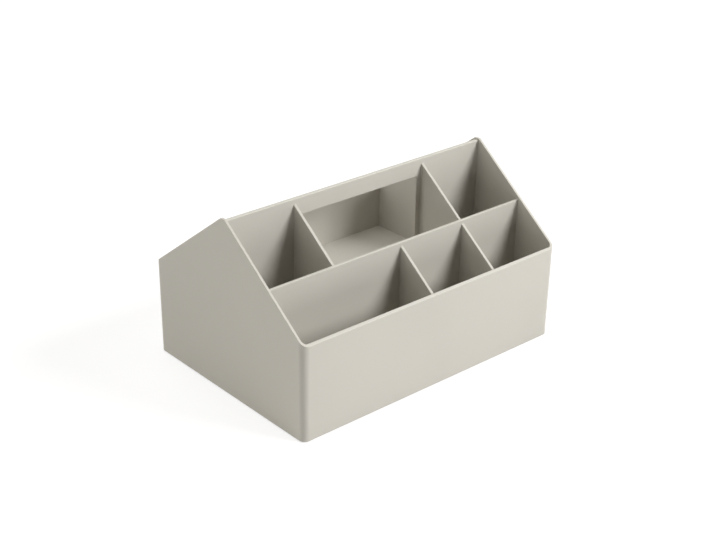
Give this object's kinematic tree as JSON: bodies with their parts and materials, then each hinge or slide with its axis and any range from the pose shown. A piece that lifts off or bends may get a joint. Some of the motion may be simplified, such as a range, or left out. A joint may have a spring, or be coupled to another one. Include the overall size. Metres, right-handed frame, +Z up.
{
  "type": "desk tool box",
  "caption": "Gabled desk tool box with a ridge wall whose upper bar is the carrying handle, a shallow raised tray under it, and fixed compartments with sloping dividers.",
  "frame": {"origin": "on the ground under the middle of the box: the middle of the bounding box's underside, at the height of the feet's soles", "axes": "+X along the ridge towards the gable on the right of the person in front, -Y towards the front row of compartments, +Z up"},
  "size_m": [0.33, 0.23, 0.1844],
  "materials": {
    "body": "smooth satin moulded plastic in a warm light grey",
    "feet": "soft matt grey elastomer"
  },
  "bodies": {
    "root": {"outer_shell": "body", "base_plate": "body", "ridge_wall": "body", "front_divider": "body", "rear_divider": "body", "front_cross_middle": "body", "front_cross_right": "body", "bay_cross_front_left": "body", "bay_cross_front_right": "body", "bay_cross_rear_left": "body", "bay_cross_rear_right": "body", "raised_floor_front": "body", "raised_floor_rear": "body", "foot_front_left": "feet", "foot_rear_left": "feet", "foot_front_right": "feet", "foot_rear_right": "feet"}
  },
  "joints": []
}
